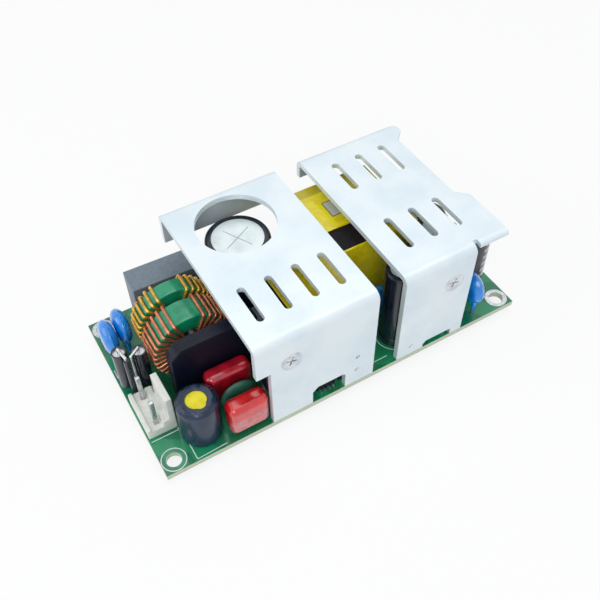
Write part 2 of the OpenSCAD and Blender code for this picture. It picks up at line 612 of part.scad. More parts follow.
// ---- main transformer: two E halves lying flat, coil between them, tape round the legs
tr_tube = 0.7;
module transformer_core() {
    m = (tr_a + tr_b)/2;
    color("#2b2b2e") {
        block(tr_x0, tr_x1, tr_y0, tr_a, tr_z0, tr_z1);
        block(tr_x0, tr_x1, tr_b, tr_y1, tr_z0, tr_z1);
        for (s = [0, 1])
            block(s ? tr_x1 - tr_leg : tr_x0, s ? tr_x1 : tr_x0 + tr_leg, tr_a, tr_b, tr_z0, tr_z1);
        y_rod(tr_x, tr_zc, tr_a, tr_b, 2*tr_mid_r);
    }
}
module transformer_bobbin() {
    color("#1d1d1f") {
        difference() {
            block(tr_x0 + 0.4, tr_x1 - 0.4, tr_y0 + 1, tr_y1 - 1, top + 0.6, tr_z0 - tape_t);
            for (i = [-2:2]) block(tr_x + i*4 + 1.4, tr_x + i*4 + 2.6, tr_y0, tr_y1 - 20.5, top, top + 1.6);
        }
        difference() {
            y_rod(tr_x, tr_zc, tr_a + tiny, tr_b - tiny, 2*(tr_mid_r + tr_tube));
            y_rod(tr_x, tr_zc, tr_a - 1, tr_b + 1, 2*tr_mid_r + 2*seat);
        }
    }
}
module transformer_coil() {
    e = 0.15;
    color("#b5672f") difference() {
        block(tr_x0 + tr_leg + e, tr_x1 - tr_leg - e, tr_a + e, tr_b - e, tr_z0 + e, tr_z1 - e);
        y_rod(tr_x, tr_zc, tr_a - 1, tr_b + 1, 2*(tr_mid_r + tr_tube));
    }
}
module transformer_wrap() {
    color("#f2e022") difference() {
        block(tr_x0 - tape_t, tr_x1 + tape_t, tr_a, tr_y1, tr_z0 - tape_t, tr_z1 + tape_t);
        block(tr_x0, tr_x1, tr_a - 1, tr_y1 + 1, tr_z0, tr_z1);
    }
}
module transformer_front_tape() {
    color("#e4cf20") {
        block(tr_x0 - tape_t, tr_x1 + tape_t, tr_y0 - tape_t, tr_y0, tr_z0, tr_z1 + tape_t);
        block(tr_x - 1, tr_x1 + tape_t, tr_y0 - tape_t, tr_a - tiny, tr_z1, tr_z1 + tape_t);
        block(tr_x1, tr_x1 + tape_t, tr_y0 - tape_t, tr_a - tiny, tr_z0, tr_z1 + tape_t);
    }
}
module transformer_label() {
    color("#c9cac4") block(12.1, 17.4, 5.2, 10.8, tr_z1 + tape_t, tr_z1 + tape_t + 0.12);
}

// ---- boost inductor under the primary plate
module boost_core() {
    color("#2b2b2e") {
        for (s = [0, 1]) block(s ? bo_x1 - bo_plate : bo_x0, s ? bo_x1 : bo_x0 + bo_plate,
            bo_y0 + tape_t, bo_y1 - tape_t, bo_z0, bo_z1);
        x_rod(bo_yc, bo_zc, bo_x0 + 1, bo_x1 - 1, 2*bo_mid_r);
    }
}
module boost_coil() {
    e = 0.1; r = min(boost_h, bo_y1 - bo_y0 - 2*tape_t)/2 - e;
    color("#b5672f") difference() {
        x_rod(bo_yc, bo_zc, bo_x0 + bo_plate + e, bo_x1 - bo_plate - e, 2*r);
        x_rod(bo_yc, bo_zc, bo_x0, bo_x1, 2*bo_mid_r + 2*seat);
    }
}
module boost_wrap() {
    color("#f2e022") difference() {
        block(bo_x0 + 0.5, bo_x1 - 0.5, bo_y0, bo_y1, bo_z0 - tape_t, bo_z1 + tape_t);
        block(bo_x0, bo_x1, bo_y0 + tape_t, bo_y1 - tape_t, bo_z0, bo_z1);
    }
}
module boost_base() {
    color("#1d1d1f") block(bo_x0, bo_x1, bo_y0, bo_y1, top + 0.5, bo_z0 - tape_t);
}

// ---- standby transformer and resonant capacitor, under the primary plate
module standby_transformer() {
    color("#2b2b2e") {
        block(aux_x0, aux_x0 + aux_l, aux_y0, aux_y0 + aux_w, top + 0.5, top + 2.4);
        block(aux_x0, aux_x0 + aux_l, aux_y0 + 3, aux_y0 + aux_w - 3, top + 2.4, top + aux_h);
    }
}
module standby_coil() {
    color("#e4cf20") for (s = [0, 1]) {
        y0 = s ? aux_y0 + aux_w - 3 : aux_y0 + 0.4;
        block(aux_x0 + 0.4, aux_x0 + aux_l - 0.4, y0, y0 + 2.6, top + 2.4, top + aux_h - 0.8);
    }
}
module wound_part_pins() {
    color("#c9ccd0") {
        leads(trans_pins, top + 0.6);
        leads(concat(boost_pins, aux_pins), top + 0.5);
    }
}
module resonant_capacitor() {
    color("#93a3aa") at(reso_c, top + 0.5) translate([-reso[0]/2, -reso[1]/2, 0]) cube(reso);
}
module component_leads() {
    color("#c9ccd0") {
        leads(concat(bulk_pins, tall_pins, short_pins, small_pins), top);
        leads(concat(xcap_pins, reso_pins), top + 0.5);
        leads(film_pins, top + film_lift);
        leads(concat(ntc_pins, ycap_pins), top + leg_lift);
        leads(filter_pins, top + 0.3);
    }
}

// ---- small chips on both faces
module optocouplers() {
    color("#1c1e20") for (c = opto_c)
        block(c[0] - 3.0, c[0] + 3.0, c[1] - 2.3, c[1] + 2.3, top + 0.6, top + 4.0);
}
module optocoupler_legs() {
    for (c = opto_c, i = [-1, 1], j = [-1, 1]) {
        at([c[0] + i*3.4, c[1] + j*1.27]) cylinder(h = top + 2.4, d = 0.7);
        block(c[0] + (i > 0 ? 3.0 : -3.4), c[0] + (i > 0 ? 3.4 : -3.0),
              c[1] + j*1.27 - 0.3, c[1] + j*1.27 + 0.3, top + 1.6, top + 2.3);
    }
}
chip_h = tip_drop - 0.3;
top_chip = [-7.0, front_y + 3.6, 5, 3];
low_chips = [[-3.5, -10.2, 9.9, 3.9, 8], [32.6, 2.0, 4.9, 3.9, 4],
             [-18.6, 3.0, 4.9, 3.9, 4], [14.4, 10.0, 4.9, 3.9, 4]];
module chip_body(c, z0, h) { block(c[0] - c[2]/2, c[0] + c[2]/2, c[1] - c[3]/2, c[1] + c[3]/2, z0, z0 + h); }
module chip_legs(c, n, s, z) {
    // flat feet along both long sides
    for (i = [0:n-1], k = [-1, 1]) {
        x = c[0] + (i - (n-1)/2)*1.2; y = c[1] + k*(c[3]/2 + 0.45);
        block(x - 0.2, x + 0.2, y - 0.45, y + 0.45, s > 0 ? z : z - 0.35, s > 0 ? z + 0.35 : z);
    }
}
module control_chips() {
    color("#1c1e20") {
        chip_body(top_chip, top, 1.5);
        for (c = low_chips) chip_body(c, -chip_h, chip_h);
    }
}
module chip_terminals() {
    color("#c9ccd0") {
        optocoupler_legs();
        chip_legs(top_chip, 4, 1, top);
        for (c = low_chips) chip_legs(c, c[4], -1, 0);
    }
}
module chip_resistors() {
    color("#3a3d42") {
        for (i = [0:2]) block(-3.2 + i*1.6, -2.2 + i*1.6, front_y + 2.4, front_y + 4.4, top, top + 0.6);
        for (i = [0:5]) block(-9 + i*2.2, -7.8 + i*2.2, -1.6, 0.4, -0.6, 0);
        for (i = [0:4]) block(31.2, 33.2, 6.6 + i*2.0, 7.8 + i*2.0, -0.6, 0);
        for (i = [0:3]) block(-22 + i*2.2, -20.8 + i*2.2, 6.8, 8.8, -0.6, 0);
        for (i = [0:3]) block(11.6 + i*2.2, 12.8 + i*2.2, 4.2, 6.2, -0.6, 0);
    }
}

pcb();
solder_joints();
primary_plate();
secondary_plate();
plate_feet();
clamp_screws();
clamp_nuts();
insulator_pads();
device_tabs();
device_bodies();
bridge_rectifier();
bridge_legs();
bulk_can();
bulk_sleeve();
output_cans();
output_sleeves();
capacitor_seals();
component_leads();
front_choke_core();
front_winding_right();
front_winding_left();
rear_choke_core();
rear_winding_right();
rear_winding_left();
choke_bases();
choke_dividers();
x_capacitor();
film_capacitor_rear();
film_capacitor_front();
thermistor();
input_disc_capacitors();
output_disc_capacitors();
filter_sleeve();
filter_core();
fuse_sleeves();
fuses();
input_header();
input_pins();
output_header();
output_pins();
transformer_core();
transformer_bobbin();
transformer_coil();
transformer_wrap();
transformer_front_tape();
transformer_label();
wound_part_pins();
boost_core();
boost_coil();
boost_wrap();
boost_base();
standby_transformer();
standby_coil();
resonant_capacitor();
optocouplers();
control_chips();
chip_terminals();
chip_resistors();
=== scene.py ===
import logging
from dataclasses import dataclass, field
from enum import Enum
from math import atan2, cos, hypot, pi, radians, sin
from typing import Sequence

import bpy
from mathutils import Matrix, Vector


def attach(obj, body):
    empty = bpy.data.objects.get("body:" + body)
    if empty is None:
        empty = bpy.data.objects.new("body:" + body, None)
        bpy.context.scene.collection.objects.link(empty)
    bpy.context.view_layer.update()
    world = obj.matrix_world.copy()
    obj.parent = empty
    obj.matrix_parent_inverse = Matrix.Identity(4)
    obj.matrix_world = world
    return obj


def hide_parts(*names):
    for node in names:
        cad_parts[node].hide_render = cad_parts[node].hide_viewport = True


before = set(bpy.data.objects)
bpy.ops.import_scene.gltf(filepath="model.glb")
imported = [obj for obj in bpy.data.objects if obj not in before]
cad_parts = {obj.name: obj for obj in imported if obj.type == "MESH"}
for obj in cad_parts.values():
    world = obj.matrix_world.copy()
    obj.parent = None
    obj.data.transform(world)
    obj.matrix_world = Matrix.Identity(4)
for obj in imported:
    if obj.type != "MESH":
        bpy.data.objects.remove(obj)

LOG = logging.getLogger("power_supply")
MM = 0.001
BODY = "root"
BOARD_TOP = 1.6

Point = tuple[float, float, float]
Spot = tuple[float, float]
Colour = tuple[float, float, float]


def tone(red: int, green: int, blue: int) -> Colour:
    """A linear colour from its 0 to 255 screen values."""
    def linear(value: int) -> float:
        """One channel, from its screen value."""
        v = value / 255
        return v / 12.92 if v <= 0.04045 else ((v + 0.055) / 1.055) ** 2.4
    return (linear(red), linear(green), linear(blue))


# ---------------------------------------------------------------- shader maths
class Field:
    """A number that varies over a surface, with its arithmetic written as Python."""

    def __init__(self, tree: "Tree", socket: bpy.types.NodeSocket) -> None:
        """Keeps the tree that the socket belongs to."""
        self.tree = tree
        self.socket = socket

    def _math(self, operation: str, *values: "Number") -> "Field":
        """One Math node on these values, in their order."""
        return self.tree.node("ShaderNodeMath", {"operation": operation},
                              dict(enumerate(values)))

    def __add__(self, other: "Number") -> "Field":
        """Sum."""
        return self._math("ADD", self, other)

    def __radd__(self, other: "Number") -> "Field":
        """Sum, from the right."""
        return self._math("ADD", other, self)

    def __sub__(self, other: "Number") -> "Field":
        """Difference."""
        return self._math("SUBTRACT", self, other)

    def __rsub__(self, other: "Number") -> "Field":
        """Difference, from the right."""
        return self._math("SUBTRACT", other, self)

    def __mul__(self, other: "Number") -> "Field":
        """Product."""
        return self._math("MULTIPLY", self, other)

    def __rmul__(self, other: "Number") -> "Field":
        """Product, from the right."""
        return self._math("MULTIPLY", other, self)

    def __gt__(self, other: "Number") -> "Field":
        """1 where this is the greater."""
        return self._math("GREATER_THAN", self, other)

    def apart(self, other: "Number") -> "Field":
        """How far this is from another value."""
        return self._math("ABSOLUTE", self - other)

    def sine(self) -> "Field":
        """Sine of this angle."""
        return self._math("SINE", self)

    def toward(self, other: "Field") -> "Field":
        """Angle whose tangent is this over the other."""
        return self._math("ARCTAN2", self, other)

    def ramp(self, low: float, high: float) -> "Field":
        """0 at low, 1 at high, smooth between and held outside."""
        return self.tree.node("ShaderNodeMapRange", {"interpolation_type": "SMOOTHSTEP"},
                              {"Value": self, "From Min": low, "From Max": high})


Number = float | Field


class Tree:
    """The node tree of a material or the world, with one way to add a node."""

    def __init__(self, name: str, world: bool = False) -> None:
        """Starts an empty tree.

        Args:
            name: the finish or the surround that it is for.
            world: True for the world, which has no places on a surface.
        """
        self.owner = (bpy.data.worlds if world else bpy.data.materials).new(name)
        self.owner.use_nodes = True
        self.nodes = self.owner.node_tree.nodes
        self.nodes.clear()
        if world:
            return
        place = self.node("ShaderNodeTexCoord", {}, {}, "Object")
        self.mm = self.node("ShaderNodeVectorMath", {"operation": "SCALE"},
                            {"Vector": place, "Scale": 1 / MM})
        parts = self.nodes.new("ShaderNodeSeparateXYZ")
        self.link(self.mm, parts.inputs[0])
        self.x, self.y, self.z = (Field(self, s) for s in parts.outputs)

    def link(self, value: object, socket: bpy.types.NodeSocket) -> None:
        """Feeds a field, a number or a colour to an input."""
        if isinstance(value, Field):
            self.owner.node_tree.links.new(value.socket, socket)
        elif socket.type == "RGBA":
            socket.default_value = (*value[:3], 1.0)
        else:
            socket.default_value = value

    def node(self, kind: str, settings: dict, values: dict, out: str | int = 0) -> Field:
        """Adds a node.

        Args:
            kind: the node's type.
            settings: its own settings, which are set first.
            values: what its inputs get, by name or number.
            out: the output that is wanted.

        Returns:
            That output as a field.
        """
        made = self.nodes.new(kind)
        for key, value in settings.items():
            setattr(made, key, value)
        for key, value in values.items():
            self.link(value, made.inputs[key])
        return Field(self, made.outputs[out]) if len(made.outputs) else Field(self, None)

    def seen(self) -> Field:
        """At least 1 on rays that reach the camera straight, mirrored or through."""
        camera, glossy, through = (
            self.node("ShaderNodeLightPath", {}, {}, f"Is {kind} Ray")
            for kind in ("Camera", "Glossy", "Transmission"))
        return camera + glossy + through

    def noise(self, per_mm: float, detail: float = 3,
              stretch: Point = (1, 1, 1)) -> Field:
        """Soft noise, with this many features in a millimetre."""
        place = self.node("ShaderNodeMapping", {}, {"Vector": self.mm, "Scale": stretch})
        return self.node("ShaderNodeTexNoise", {},
                         {"Vector": place, "Scale": per_mm, "Detail": detail})

    def specks(self, per_mm: float) -> Field:
        """Distance to the nearest of many scattered points."""
        return self.node("ShaderNodeTexVoronoi", {},
                         {"Vector": self.mm, "Scale": per_mm}, "Distance")

    def blend(self, mask: Number, first: object, second: object) -> Field:
        """A colour between two, by a mask from 0 to 1."""
        return self.node("ShaderNodeMix", {"data_type": "RGBA"},
                         {0: mask, 6: first, 7: second}, 2)

    def bump(self, height: Field, depth_mm: float, strength: float = 1.0) -> Field:
        """A normal from a height field of this depth."""
        return self.node("ShaderNodeBump", {}, {"Height": height, "Strength": strength,
                                                "Distance": depth_mm * MM})

    def surface(self, **values: object) -> bpy.types.Material:
        """Ends the tree in a Principled shader with these inputs.

        Returns:
            The finished material.
        """
        named = {key.replace("_", " ").title().replace("Ior", "IOR"): value
                 for key, value in values.items()}
        shader = self.node("ShaderNodeBsdfPrincipled", {}, named)
        self.node("ShaderNodeOutputMaterial", {}, {"Surface": shader})
        return self.owner


# ---------------------------------------------------------------- finishes
@dataclass(frozen=True)
class Finish:
    """How a surface is finished. Subclasses add what each stuff shows."""

    name: str
    colour: Colour
    shade: Colour
    rough: float = 0.5
    metal: float = 0.0
    coat: float = 0.0
    grain: float = 2.0
    depth: float = 0.02
    shine: float = 0.5

    def tint(self, t: Tree) -> Field:
        """The colour over the surface."""
        return t.blend(t.noise(self.grain * 0.25, 4).ramp(0.35, 0.7), self.colour, self.shade)

    def height(self, t: Tree) -> Field:
        """The relief over the surface."""
        return t.noise(self.grain, 4)

    def gloss(self, t: Tree) -> Number:
        """The roughness over the surface."""
        return t.noise(self.grain * 0.4, 3) * 0.16 + (self.rough - 0.08)

    def material(self) -> bpy.types.Material:
        """The finish as a material, made once."""
        if self not in MADE:
            t = Tree(self.name)
            MADE[self] = t.surface(
                base_color=self.tint(t), roughness=self.gloss(t), metallic=self.metal,
                specular_ior_level=self.shine, coat_weight=self.coat,
                normal=t.bump(self.height(t), self.depth))
        return MADE[self]


@dataclass(frozen=True)
class SheetMetal(Finish):
    """Pale aluminium sheet with faint handling marks and fine scratches."""

    def scratches(self, t: Tree) -> Field:
        """Thin lines, where stretched noise crosses its middle."""
        long = t.noise(1.1, 2, (1.6, 0.16, 0.5)).apart(0.5).ramp(0.0035, 0.0)
        return long * t.noise(0.12, 2).ramp(0.52, 0.62)

    def tint(self, t: Tree) -> Field:
        """Pale, with soft clouds, small dull spots and scratches."""
        base = t.blend(t.noise(0.09, 4).ramp(0.35, 0.7), self.colour, self.shade)
        spots = t.specks(0.42).ramp(0.1, 0.04) * t.noise(0.16, 2).ramp(0.58, 0.66)
        return t.blend(spots * 0.3 + self.scratches(t) * 0.35, base, tone(120, 130, 140))

    def height(self, t: Tree) -> Field:
        """Rolled sheet: a fine lay along X, with the scratches cut in."""
        return t.noise(6, 2, (0.06, 1, 1)) * 0.4 - self.scratches(t) * 0.5


@dataclass(frozen=True)
class ShrunkSleeve(Finish):
    """Shrunk plastic film with a band down one side.

    The band stands at an angle round the middle of the can.
    """

    middle: Spot = (0.0, 0.0)
    band_turn: float = 0.0
    band_width: float = 0.0
    band_colour: Colour = (0.4, 0.42, 0.46)
    hatched: bool = False

    def tint(self, t: Tree) -> Field:
        """Dark film, with the pale band where there is one."""
        base = super().tint(t)
        if not self.band_width:
            return base
        turn = (t.y - self.middle[1]).toward(t.x - self.middle[0])
        band = turn.apart(radians(self.band_turn)).ramp(self.band_width, self.band_width * 0.92)
        if self.hatched:
            band = band * ((t.z * 2.6).sine() > 0.1)
        return t.blend(band * 0.85, base, self.band_colour)

    def height(self, t: Tree) -> Field:
        """Film drawn tight: soft ripples that run up the can."""
        return t.noise(0.8, 2, (1, 1, 0.2))


@dataclass(frozen=True)
class Dipped(Finish):
    """Glossy dipped resin, with a paler printed patch left blank on some."""

    patch_below: float = 0.0
    patch_colour: Colour = (0.5, 0.3, 0.32)

    def tint(self, t: Tree) -> Field:
        """Resin colour, duller towards the patch."""
        base = super().tint(t)
        if not self.patch_below:
            return base
        low = t.z.ramp(self.patch_below + 0.5, self.patch_below - 0.4)
        return t.blend(low * t.noise(0.7, 3).ramp(0.2, 0.7) * 0.75, base, self.patch_colour)

    def height(self, t: Tree) -> Field:
        """Slow waves where the resin ran."""
        return t.noise(0.35, 2)


@dataclass(frozen=True)
class EnamelWire(Finish):
    """Varnished winding wire, with its colour drifting from turn to turn."""

    def tint(self, t: Tree) -> Field:
        """Bright and dark turns."""
        return t.blend(t.noise(0.55, 4).ramp(0.3, 0.75), self.colour, self.shade)


@dataclass(frozen=True)
class MaskedBoard(Finish):
    """Green solder mask over copper, with bare laminate at the edges."""

    def copper(self, t: Tree) -> Field:
        """Broad copper areas that show through the mask."""
        return t.noise(0.13, 1).ramp(0.5, 0.515)

    def tint(self, t: Tree) -> Field:
        """Mask, lighter on copper, and sawn laminate on the edge."""
        mask = t.blend(self.copper(t), self.colour, self.shade)
        edge = t.z.ramp(0.02, 0.08) * t.z.ramp(1.58, 1.52)
        layers = t.blend((t.z * 16).sine(), tone(196, 205, 176), tone(150, 168, 138))
        return t.blend(edge, mask, layers)

    def height(self, t: Tree) -> Field:
        """The step of the copper under the mask, and the weave."""
        return self.copper(t) + t.noise(3, 1) * 0.15


@dataclass(frozen=True)
class WoundTape(Finish):
    """Yellow film tape, creased, darker beyond a set Y at the rear."""

    dark_beyond: float = 99.0

    def tint(self, t: Tree) -> Field:
        """Clear yellow, darker towards the rear past dark_beyond."""
        base = super().tint(t)
        # darker yellow painted over the rear strip of the top, past dark_beyond
        over = t.y.ramp(self.dark_beyond, self.dark_beyond + 0.25)
        return t.blend(over * 0.55, base, tone(150, 138, 20))

    def height(self, t: Tree) -> Field:
        """Long soft creases."""
        return t.noise(0.5, 3, (1, 0.3, 0.6))


# the finishes made so far; the CAD's own materials are kept out of it
MADE: dict[Finish, bpy.types.Material] = {}


class Stuff(Enum):
    """The finishes of the whole supply."""

    PLATE = SheetMetal("rolled_plate", tone(226, 236, 241), tone(214, 227, 235),
                       0.42, 0.35, depth=0.01)
    BOARD = MaskedBoard("board_mask", tone(8, 112, 76), tone(10, 136, 92),
                        0.3, coat=0.4, depth=0.03)
    TINNED = Finish("tinned_leads", tone(205, 208, 210), tone(168, 172, 176), 0.28, 0.9)
    SOLDER = Finish("bright_solder", tone(210, 212, 216), tone(176, 180, 186),
                    0.22, 0.95, grain=4)
    STEEL = Finish("zinc_steel", tone(222, 226, 229), tone(190, 196, 202), 0.3, 0.85)
    EPOXY = Finish("moulded_epoxy", tone(10, 14, 30), tone(16, 22, 40),
                   0.42, grain=5, depth=0.015, shine=0.25)
    BLACK = Finish("black_moulding", tone(22, 23, 26), tone(34, 36, 40),
                   0.5, grain=5, shine=0.2)
    CAN = Finish("drawn_aluminium", tone(226, 236, 236), tone(206, 218, 222),
                 0.36, 0.5, grain=1, depth=0.008)
    SEAL = Finish("rubber_seal", tone(24, 24, 25), tone(38, 38, 40), 0.8, shine=0.15)
    CORE = Finish("painted_core", tone(14, 150, 106), tone(10, 126, 92),
                  0.3, coat=0.5, depth=0.012)
    COPPER = EnamelWire("copper_enamel", tone(224, 140, 98), tone(176, 88, 56),
                        0.24, 0.55, coat=0.6, depth=0.004)
    GOLD = EnamelWire("gold_enamel", tone(236, 186, 62), tone(190, 128, 34),
                      0.24, 0.5, coat=0.6, depth=0.004)
    GREY = Finish("grey_moulding", tone(112, 117, 122), tone(92, 97, 102), 0.55)
    BOX = Finish("box_moulding", tone(116, 130, 142), tone(106, 120, 132), 0.5, grain=4)
    CRIMSON = Dipped("crimson_resin", tone(190, 18, 42), tone(150, 12, 34),
                     0.2, coat=0.8, depth=0.05)
    RED = Dipped("red_resin", tone(216, 22, 26), tone(190, 16, 24), 0.16, coat=0.9, depth=0.05,
                 patch_below=8.0, patch_colour=tone(190, 120, 126))
    SAGE = Dipped("sage_resin", tone(46, 108, 88), tone(36, 90, 74), 0.5, depth=0.06)
    BLUE = Dipped("blue_resin", tone(10, 140, 232), tone(6, 116, 208),
                  0.18, coat=0.8, depth=0.07)
    NAVY = ShrunkSleeve("navy_film", tone(22, 44, 72), tone(16, 34, 58),
                        0.32, coat=0.3, depth=0.08, shine=0.3)
    SLEEVE = ShrunkSleeve("dark_sleeve", tone(20, 26, 40), tone(30, 38, 54),
                          0.25, coat=0.5, depth=0.03, shine=0.35)
    COATED = Finish("yellow_lacquer", tone(238, 226, 40), tone(222, 206, 32), 0.5)
    NYLON = Finish("nylon_moulding", tone(228, 230, 224), tone(214, 218, 212), 0.45, grain=1.5)
    FERRITE = Finish("sintered_ferrite", tone(26, 24, 28), tone(40, 38, 42),
                     0.6, grain=7, depth=0.04, shine=0.15)
    TAPE = WoundTape("clear_tape", tone(240, 222, 20), tone(226, 202, 12),
                     0.28, coat=0.5, depth=0.06)
    LAPPED = WoundTape("lapped_tape", tone(244, 228, 20), tone(232, 210, 14),
                       0.28, coat=0.5, depth=0.06,
                       dark_beyond=14.5)
    LABEL = Finish("blank_label", tone(200, 200, 196), tone(186, 187, 184), 0.6, depth=0.01)
    SILK = Finish("white_ink", tone(228, 236, 232), tone(206, 218, 212), 0.6, depth=0.01)
    INK = Finish("dark_ink", tone(62, 60, 40), tone(48, 46, 34), 0.6, depth=0.01)
    PAD = Finish("insulator_pad", tone(136, 142, 147), tone(122, 128, 134), 0.6)


# ---------------------------------------------------------------- hand tools
class Bench:
    """The hand modelling steps that the pieces share. Sizes are in millimetres."""

    @staticmethod
    def clear() -> None:
        """Leaves edit mode and deselects everything."""
        if bpy.context.mode != "OBJECT":
            bpy.ops.object.mode_set(mode="OBJECT")
        bpy.ops.object.select_all(action="DESELECT")

    @staticmethod
    def only(piece: bpy.types.Object) -> None:
        """Selects one piece and makes it active."""
        Bench.clear()
        piece.select_set(True)
        bpy.context.view_layer.objects.active = piece

    @staticmethod
    def apply(piece: bpy.types.Object, kind: str, **settings: object) -> None:
        """Adds a modifier, sets it and applies it."""
        Bench.only(piece)
        made = piece.modifiers.new(kind.lower(), kind)
        for key, value in settings.items():
            setattr(made, key, value)
        bpy.ops.object.modifier_apply(modifier=made.name)

    @staticmethod
    def settle(piece: bpy.types.Object, smooth_deg: float = 35) -> bpy.types.Object:
        """Puts the piece's place into its mesh and smooths its gentle edges."""
        Bench.only(piece)
        bpy.ops.object.transform_apply(location=True, rotation=True, scale=True)
        bpy.ops.object.shade_smooth_by_angle(angle=radians(smooth_deg))
        Bench.apply(piece, "WEIGHTED_NORMAL", keep_sharp=True, weight=100)
        return piece

    @staticmethod
    def block(name: str, low: Point, high: Point, edge: float, steps: int = 3) -> bpy.types.Object:
        """A moulded block with rounded edges.

        Args:
            name: the piece's name.
            low: its lowest corner.
            high: its highest corner.
            edge: the radius of its edges.
            steps: faces across each edge.

        Returns:
            The piece.
        """
        Bench.clear()
        middle = [(a + b) / 2 * MM for a, b in zip(low, high)]
        bpy.ops.mesh.primitive_cube_add(size=1, location=middle)
        piece = bpy.context.object
        piece.name = name
        piece.scale = [(b - a) * MM for a, b in zip(low, high)]
        bpy.ops.object.transform_apply(location=True, rotation=True, scale=True)
        Bench.apply(piece, "BEVEL", width=edge * MM, segments=steps, limit_method="NONE")
        return Bench.settle(piece)

    @staticmethod
    def lathe(name: str, profile: Sequence[Spot], middle: Point, steps: int = 48,
              axis: str = "Z") -> bpy.types.Object:
        """Spins a closed or axis-to-axis profile.

        Args:
            name: the piece's name.
            profile: (radius, height) places, in order.
            middle: where the axis stands, and height 0.
            steps: faces round the piece.
            axis: the world axis that the profile turns about.

        Returns:
            The piece, with its normals outwards.
        """
        Bench.clear()
        bpy.ops.mesh.primitive_circle_add(vertices=3, radius=MM, location=(0, 0, 0))
        piece = bpy.context.object
        piece.name = name
        bpy.ops.object.mode_set(mode="EDIT")
        bpy.ops.mesh.merge(type="CENTER")
        bpy.ops.transform.translate(value=(profile[0][0] * MM, 0, profile[0][1] * MM))
        for (r0, h0), (r1, h1) in zip(profile, profile[1:]):
            bpy.ops.mesh.extrude_region_move(
                TRANSFORM_OT_translate={"value": ((r1 - r0) * MM, 0, (h1 - h0) * MM)})
        bpy.ops.mesh.select_all(action="SELECT")
        bpy.ops.mesh.spin(steps=steps, angle=2 * pi, center=(0, 0, 0), axis=(0, 0, 1))
        bpy.ops.mesh.select_all(action="SELECT")
        bpy.ops.mesh.remove_doubles(threshold=1e-6)
        bpy.ops.mesh.dissolve_degenerate(threshold=1e-6)
        bpy.ops.mesh.normals_make_consistent(inside=False)
        bpy.ops.object.mode_set(mode="OBJECT")
        if axis == "X":
            piece.rotation_euler = (0, pi / 2, 0)
        elif axis == "Y":
            piece.rotation_euler = (-pi / 2, 0, 0)
        piece.location = Vector(middle) * MM
        return Bench.settle(piece)

    @staticmethod
    def eased(node: str, name: str, edge: float, steps: int = 2) -> bpy.types.Object:
        """A copy of a CAD node with its sharp edges eased.

        Args:
            node: the CAD node that is copied.
            name: the piece's name.
            edge: the radius of its edges.
            steps: faces across each edge.

        Returns:
            The piece, which stands in for the node.
        """
        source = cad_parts[node]
        piece = source.copy()
        piece.data = source.data.copy()
        piece.parent = None
        piece.name = name
        piece.data.materials.clear()
        for key in list(piece.keys()):
            del piece[key]
        bpy.context.scene.collection.objects.link(piece)
        piece.matrix_world = source.matrix_world.copy()
        Bench.only(piece)
        bpy.ops.object.mode_set(mode="EDIT")
        bpy.ops.mesh.select_all(action="SELECT")
        bpy.ops.mesh.remove_doubles(threshold=2e-6)
        bpy.ops.mesh.dissolve_limited(angle_limit=radians(1))
        bpy.ops.object.mode_set(mode="OBJECT")
        Bench.apply(piece, "BEVEL", width=edge * MM, segments=steps, limit_method="ANGLE",
                    angle_limit=radians(50), use_clamp_overlap=True, harden_normals=False)
        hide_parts(node)
        return Bench.settle(piece)

    @staticmethod
    def join(name: str, pieces: Sequence[bpy.types.Object]) -> bpy.types.Object:
        """Joins several meshes into one piece."""
        Bench.only(pieces[0])
        for piece in pieces:
            piece.select_set(True)
        bpy.ops.object.join()
        pieces[0].name = name
        return pieces[0]

    @staticmethod
    def dress(piece: bpy.types.Object, finish: Finish, slot: str) -> bpy.types.Object:
        """Gives a piece its finish and its body."""
        piece.data.materials.clear()
        piece.data.materials.append(finish.material())
        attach(piece, BODY)
        faces = sum(len(p.vertices) - 2 for p in piece.data.polygons)
        LOG.info("%s: %d triangles", piece.name, faces)
        return piece


def repaint(node: str, finish: Finish) -> None:
    """Gives a CAD node that keeps its shape a better finish."""
    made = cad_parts[node]
    for slot in made.material_slots:
        slot.material = finish.material()
    LOG.info("%s: %s", node, finish.name)


